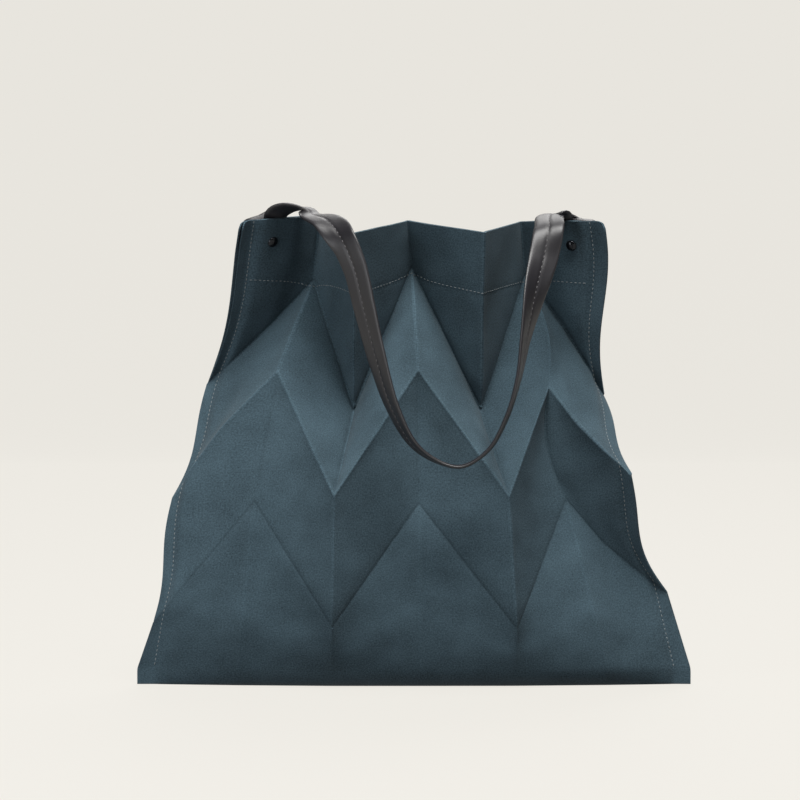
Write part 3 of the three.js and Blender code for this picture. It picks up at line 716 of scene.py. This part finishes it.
# The free part of each handle as shares of half width, height and fold depth, with the turn of its edge line
# round Z and up, in degrees
loopRows = {
    "front": [
        (-0.370, 1.012, -0.22, 52, 3), (-0.308, 0.998, -0.48, 28, 20), (-0.254, 0.960, -0.71, -30, 18),
        (-0.209, 0.900, -0.79, -40, 15),
        (-0.175, 0.816, -0.81, -46, 13), (-0.128, 0.703, -0.82, -56, 12), (-0.073, 0.603, -0.84, -68, 12),
        (0.000, 0.528, -0.86, -79, 9), (0.090, 0.492, -0.88, -86, 5), (0.168, 0.484, -0.90, -90, 3),
        (0.260, 0.518, -0.89, -94, 3), (0.324, 0.585, -0.85, -95, 4), (0.366, 0.664, -0.76, -98, 4),
        (0.394, 0.756, -0.62, -110, 4), (0.428, 0.848, -0.46, -135, 4), (0.461, 0.920, -0.27, -162, 3),
        (0.483, 0.982, -0.14, -188, -4),
    ],
    "back": [
        (-0.520, 0.978, 0.47, 36, 0), (-0.512, 0.930, 0.67, 37, 0), (-0.478, 0.865, 0.85, 42, 0),
        (-0.415, 0.790, 0.96, 52, 0), (-0.345, 0.705, 0.98, 62, 0), (-0.250, 0.620, 0.98, 78, 0),
        (-0.130, 0.540, 0.99, 86, 0), (0.000, 0.495, 0.99, 90, 0), (0.140, 0.490, 1.00, 92, 0),
        (0.270, 0.530, 1.01, 96, 0), (0.365, 0.600, 1.03, 102, 0), (0.445, 0.680, 1.07, 108, 0),
        (0.510, 0.770, 1.09, 118, 0), (0.548, 0.850, 1.06, 130, 0), (0.562, 0.920, 0.92, 142, 0),
        (0.560, 0.976, 0.70, 150, 0),
    ],
}
# The fixed part from the tab's end over the rim: along the rim, up from the rivet, and out, in millimetres,
# with the turn of the edge line round Z and up, in degrees, or none where it lies along the rim
crestRows = {
    "front": {
        "left": [(-1, -11, -0.6, None, 0), (0, 0, 0, None, 0), (-1, 10, -0.4, None, 0),
                 (0, 18, -0.2, 24, -2), (3, 26, 1.6, 40, -7), (11, 31, 6, 50, -9), (21, 32, 13, 53, -5)],
        "right": [(-1, -11, -0.6, None, 0), (0, 0, 0, None, 0), (2, 10, -0.4, None, 0),
                  (5, 19, -0.6, None, 0), (8, 25.5, 1.2, None, 0), (12, 27.5, 6.6, None, 0)],
    },
    "back": {
        "left": [(-1, -11, -0.6, None, 0), (0, 0, 0, None, 0), (0, 10, -0.4, None, 0),
                 (0, 17, -0.4, None, 0), (0, 21, 1.2, None, 0), (0, 21.6, 6.4, None, 0)],
        "right": [(-1, -11, -0.6, None, 0), (0, 0, 0, None, 0), (0, 10, -0.4, None, 0),
                  (0, 17, -0.4, None, 0), (0, 21, 1.2, None, 0), (0, 21.6, 6.4, None, 0)],
    },
}


def rivetPlace(side, end):
    # on the flat pad beside the seam, square to the rim line and to the way down to a fifth of the band below
    rows = rowLines(keyRows[side], np.array([0.0, 0.2]))
    near, far = (2, 3) if end == "left" else (10, 9)            # stations of the swell and the pad
    inwards = unit(rows[:, far] - rows[:, near])
    spots = rows[:, near] + inwards * rivet["inset"]
    down = unit(spots[1] - spots[0])
    spot = spots[0] + down * rivet["drop"]
    share = rivet["drop"] / np.linalg.norm(spots[1] - spots[0])
    outwards = unit(np.cross(inwards[0] * (1 - share) + inwards[1] * share, down))
    if (side == "front") != (outwards[1] < 0):
        outwards = -outwards
    along = unit(np.cross(-down, outwards))
    if along @ inwards[0] < 0:
        along = -along
    return {"spot": spot + bag["standShift"] * yAxis, "outwards": outwards, "up": -down, "along": along}


def catmullRom(points, at):
    # centripetal spline through the points: the knots are spaced by the square root of each distance
    padded = np.vstack([2 * points[0] - points[1], points, 2 * points[-1] - points[-2]])
    gaps = np.sqrt(np.linalg.norm(np.diff(padded, axis=0), axis=1))
    i = np.minimum(at.astype(int), len(points) - 2)
    t = (at - i)[:, None]
    p0, p1, p2, p3 = padded[i], padded[i + 1], padded[i + 2], padded[i + 3]
    g0, g1, g2 = gaps[i][:, None], gaps[i + 1][:, None], gaps[i + 2][:, None]
    m1 = ((p1 - p0) / g0 - (p2 - p0) / (g0 + g1) + (p2 - p1) / g1) * g1
    m2 = ((p2 - p1) / g1 - (p3 - p1) / (g1 + g2) + (p3 - p2) / g2) * g1
    return p1 + m1 * t + (-3 * p1 + 3 * p2 - 2 * m1 - m2) * t ** 2 + (2 * p1 - 2 * p2 + m1 + m2) * t ** 3


def edgeWay(swing, tip):
    # the unit way turned by swing round Z and raised by tip, in degrees
    swing, tip = np.radians(swing), np.radians(tip)
    return np.array([np.cos(tip) * np.cos(swing), np.cos(tip) * np.sin(swing), np.sin(tip)])


def handlePath(side):
    # the strap's middle line and the unit way to its edge, square to the line, at equal steps
    inside = -(bag["hemWall"] + rivet["air"] + strap["thick"] / 2)
    middles, ways = [], []
    places = {end: rivetPlace(side, end) for end in ("left", "right")}
    for end in ("left", "right"):
        place = places[end]
        rows = crestRows[side][end]
        steps = np.array([row[:3] for row in rows]) / 1000 + [0, 0, inside]
        crest = place["spot"] + steps @ np.array([place["along"], place["up"], place["outwards"]])
        way = np.array([place["along"] if row[3] is None else edgeWay(row[3], row[4]) for row in rows])
        middles.append(crest if end == "left" else crest[::-1])
        ways.append(way if end == "left" else way[::-1])
    rows = np.array(loopRows[side])
    loop = np.column_stack([rows[:, 0] * bag["halfWidth"], rows[:, 2] * bag["foldDepth"] + bag["standShift"],
                            rows[:, 1] * bag["height"]])
    way = edgeWay(rows[:, 3], rows[:, 4]).T
    middle = np.vstack([middles[0], loop, middles[1]])
    edge = middle + np.vstack([ways[0], way, ways[1]]) * strap["width"] / 2
    fine = np.linspace(0, len(middle) - 1, strap["measureSteps"])
    steps = np.linalg.norm(np.diff(catmullRom(middle, fine), axis=0), axis=1)
    length = np.concatenate([[0], np.cumsum(steps)])
    at = np.interp(np.linspace(0, length[-1], strap["rings"] + 1), length, fine)
    line = catmullRom(middle, at)
    tangent = unit(np.gradient(line, axis=0))
    across = catmullRom(edge, at) - line
    across = unit(across - (across * tangent).sum(axis=1, keepdims=True) * tangent)
    return line, tangent, across, length[-1], places


def strapSection():
    # half height of the strap across its width w from -1 to 1: sqrt(1 - |w|^p) times half the thickness, less
    # a stitched groove of depth exp(-(w / reach)^2) down the middle of its outer face
    steps = np.linspace(0, math.pi / 2, strap["edgePoints"])
    inGroove = np.array([-strap["grooveSide"], 0, strap["grooveSide"]])
    w = np.concatenate([-np.cos(steps), inGroove, np.cos(steps[::-1])])
    w = np.unique(np.round(w, 6))
    rise = strap["thick"] / 2 * np.sqrt(1 - np.abs(w) ** strap["edgePower"])
    groove = strap["groove"] * np.exp(-(w / strap["grooveReach"]) ** 2)
    top = np.column_stack([w, rise - groove])
    bottom = np.column_stack([w[::-1], -rise[::-1]])[1:-1]
    return np.vstack([top, bottom])


def makeHandle(side):
    # the section carried along the path: place = line + across * w * half width + normal * half height, as
    # narrow as the tab at its riveted ends, which are rounded by sqrt(1 - (1 - gap / radius)^2)
    line, tangent, across, total, places = handlePath(side)
    normal = np.cross(tangent, across)
    fromEnd = np.minimum(np.arange(len(line)), np.arange(len(line))[::-1]) / strap["rings"] * total
    grow = np.clip((fromEnd - strap["tabReach"]) / strap["tabGrow"], 0, 1)
    grow = grow * grow * (3 - 2 * grow)
    half = (strap["tabWidth"] + (strap["width"] - strap["tabWidth"]) * grow) / 2
    short = 1 - np.clip(fromEnd / (strap["tabWidth"] / 2), 0, 1)
    rounding = np.sqrt(np.clip(1 - short ** 2, strap["endRound"], 1))
    section = strapSection()
    wander = 1 + strap["wander"] * softNoise(fromEnd, fromEnd, strap["wanderCell"], 3)
    widths = (half * rounding * wander)[:, None] * section[None, :, 0]
    verts = line[:, None] + across[:, None] * widths[..., None] + normal[:, None] * section[None, :, 1:2]
    rings, count = verts.shape[:2]
    i = np.arange(rings * count).reshape(rings, count)
    wrapped = np.concatenate([i, i[:, :1]], axis=1)
    quads = np.stack([wrapped[:-1, :-1], wrapped[:-1, 1:], wrapped[1:, 1:], wrapped[1:, :-1]], axis=-1)
    mirror = -np.arange(count) % count
    caps = []
    for ring, flip in ((i[0], False), (i[-1], True)):
        tops = ring[:count // 2 + 1]
        lows = ring[mirror[:count // 2 + 1]]
        cap = stripQuads(tops, lows)[1:-1]
        caps.append(cap[:, ::-1] if flip else cap)
    faces = np.concatenate([quads.reshape(-1, 4)] + caps)
    flat = np.stack([np.broadcast_to(section[None, :, 0] * half[:, None], (rings, count)),
                     np.broadcast_to(np.linspace(0, total, rings)[:, None], (rings, count))], axis=-1)
    handle = newObject(f"dressed_handle_{side}", verts.reshape(-1, 3), faces, leather, uv=flat.reshape(-1, 2))
    at = evenly(line, stitch["strapPitch"])
    at = at[(at > stitch["strapMargin"]) & (at < rings - 1 - stitch["strapMargin"])]
    pick = lambda values: np.column_stack([np.interp(at, np.arange(rings), values[:, k]) for k in range(3)])
    normals = unit(pick(normal))
    spots = pick(line) + normals * (strap["thick"] / 2 - strap["groove"] + stitch["strapRise"])
    thread = stitchRun(f"handle_stitches_{side}", spots, pick(tangent), normals, handleThread,
                       stitch["strapLength"], stitch["strapWidth"])
    return handle, thread, places


def makeRivet(name, place):
    # a turned outline: the disc behind the tab, the post, and the dome, r = head cos a and
    # h = lip + (dome - lip) sin a
    head, foot, pole = rivet["head"], rivet["foot"], rivet["pole"]
    stack = bag["hemWall"] + 3 * rivet["air"] + strap["thick"]
    outline = [(pole, -stack - foot), (head * rivet["footTaper"], -stack - foot),
               (head, -stack - foot * rivet["footEdge"]), (head, -stack),
               (rivet["post"], -stack), (rivet["post"], 0), (head * rivet["undercut"], 0)]
    a = np.linspace(0, math.pi / 2, rivet["domeSteps"] + 1)[:-1]
    rise = rivet["lip"] + (rivet["dome"] - rivet["lip"]) * np.sin(a)
    dome = np.column_stack([head * np.cos(a * rivet["domeTurn"]), rise])
    outline = np.vstack([outline, dome, (pole, rivet["dome"])])
    turns = np.linspace(0, 2 * math.pi, rivet["sides"] + 1)[:-1]
    along, up, out = place["along"], place["up"], place["outwards"]
    if np.cross(along, up) @ out < 0:
        turns = turns[::-1]
    ring = np.cos(turns)[:, None] * along + np.sin(turns)[:, None] * up
    verts = place["spot"] + out * (outline[:, 1:2] + rivet["air"])[:, None] + ring * outline[:, :1, None]
    i = np.arange(verts.shape[0] * verts.shape[1]).reshape(verts.shape[:2])
    wrapped = np.concatenate([i, i[:, :1]], axis=1)
    quads = np.stack([wrapped[:-1, :-1], wrapped[:-1, 1:], wrapped[1:, 1:], wrapped[1:, :-1]], axis=-1)
    return newObject(name, verts.reshape(-1, 3), quads.reshape(-1, 4), capMetal)


handles = {}
for side in ("front", "back"):
    handle, thread, places = makeHandle(side)
    handles[side] = (handle, thread)
    for end, place in places.items():
        cap = makeRivet(f"dressed_rivet_{side}_{end}", place)
        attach(cap, "root")
        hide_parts(f"rivet_{side}_{end}")
print("handles and rivets made")

for side in ("front", "back"):
    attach(panels[side], "root")
    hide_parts("canvas_body")
    handle, thread = handles[side]
    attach(handle, "root")
    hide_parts(f"handle_{side}")
    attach(thread, "root")
for run in stitchRows:
    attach(run, "root")

studio = {
    "floorColor": (0.012, 0.0117, 0.0110), "floorGlow": (0.831, 0.807, 0.753), "glowStrength": 0.955,
    "floorSide": 4.0, "floorFront": 6.0, "curve": 0.9, "curvePoints": 24, "wallHeight": 3.5, "wallAt": 2.6,
    "worldColor": (0.93, 0.92, 0.90, 1), "worldStrength": 0.04,
}


def makeBackdrop():
    # a floor that turns up into a wall by a quarter circle
    a = np.linspace(0, math.pi / 2, studio["curvePoints"])
    y = np.concatenate([[-studio["floorFront"]], studio["wallAt"] + studio["curve"] * np.sin(a)])
    z = np.concatenate([[0], studio["curve"] * (1 - np.cos(a))])
    y, z = np.append(y, y[-1]), np.append(z, studio["wallHeight"])
    x = np.array([-studio["floorSide"], studio["floorSide"]])
    grid = np.stack(np.broadcast_arrays(x[None], y[:, None], z[:, None]), axis=-1)
    paper = plainMaterial("floor", studio["floorColor"], roughness=0.95, noiseScale=3.0, unevenness=0.01)
    shader = paper.node_tree.nodes["Principled BSDF"]
    shader.inputs["Emission Color"].default_value = studio["floorGlow"] + (1,)
    shader.inputs["Emission Strength"].default_value = studio["glowStrength"]
    floor = newObject("floor", grid.reshape(-1, 3), gridQuads(len(y), 2, 0, True), paper)
    floor.visible_diffuse = False      # the backdrop glows evenly and throws no light back at the bag
    return floor


makeBackdrop()

lights = [
    {"name": "key", "at": (0.12, -0.68, 2.16), "aim": (0, 0, 0.2), "size": 1.2, "power": 81,
     "color": (1, 0.99, 0.97)},
    {"name": "fill", "at": (-0.75, -0.88, 0.32), "aim": (-0.05, 0, 0.2), "size": 0.7, "power": 6,
     "color": (0.96, 0.98, 1)},
    {"name": "side", "at": (1.25, -0.9, 0.7), "aim": (0, 0, 0.25), "size": 0.7, "power": 3,
     "color": (0.98, 0.98, 1)},
    {"name": "behind", "at": (0.35, 1.45, 1.75), "aim": (0, 0, 0.2), "size": 1.2, "power": 20,
     "color": (1, 0.99, 0.98)},
]


def addLight(light):
    # a square lamp at its place, turned to where it aims
    data = bpy.data.lights.new(light["name"], "AREA")
    data.shape = "SQUARE"
    data.size = light["size"]
    data.energy = light["power"]
    data.color = light["color"]
    lamp = bpy.data.objects.new(light["name"], data)
    lamp.location = light["at"]
    lamp.rotation_euler = (Vector(light["aim"]) - lamp.location).to_track_quat("-Z", "Y").to_euler()
    bpy.context.collection.objects.link(lamp)


for light in lights:
    addLight(light)

world = bpy.data.worlds.new("studio")
world.use_nodes = True
world.node_tree.nodes["Background"].inputs["Color"].default_value = studio["worldColor"]
world.node_tree.nodes["Background"].inputs["Strength"].default_value = studio["worldStrength"]
bpy.context.scene.world = world
bpy.context.scene.view_settings.view_transform = "Standard"

# The camera looks down by pitch degrees, and its picture is frameWidth metres wide at the bag
lens = {"distance": 3.0, "pitch": 3.0, "frameWidth": 0.664, "aimX": -0.0116, "aimZ": 0.236, "sensor": 36.0}
cameraData = bpy.data.cameras.new("camera")
cameraData.sensor_width = lens["sensor"]
cameraData.lens = lens["sensor"] * lens["distance"] / lens["frameWidth"]
camera = bpy.data.objects.new("camera", cameraData)
tilt = math.radians(lens["pitch"])
away = lens["distance"] * math.cos(tilt)
rise = lens["distance"] * math.sin(tilt)
camera.location = (lens["aimX"], -away, lens["aimZ"] + rise)
camera.rotation_euler = (math.pi / 2 - tilt, 0, 0)
bpy.context.collection.objects.link(camera)
bpy.context.scene.camera = camera
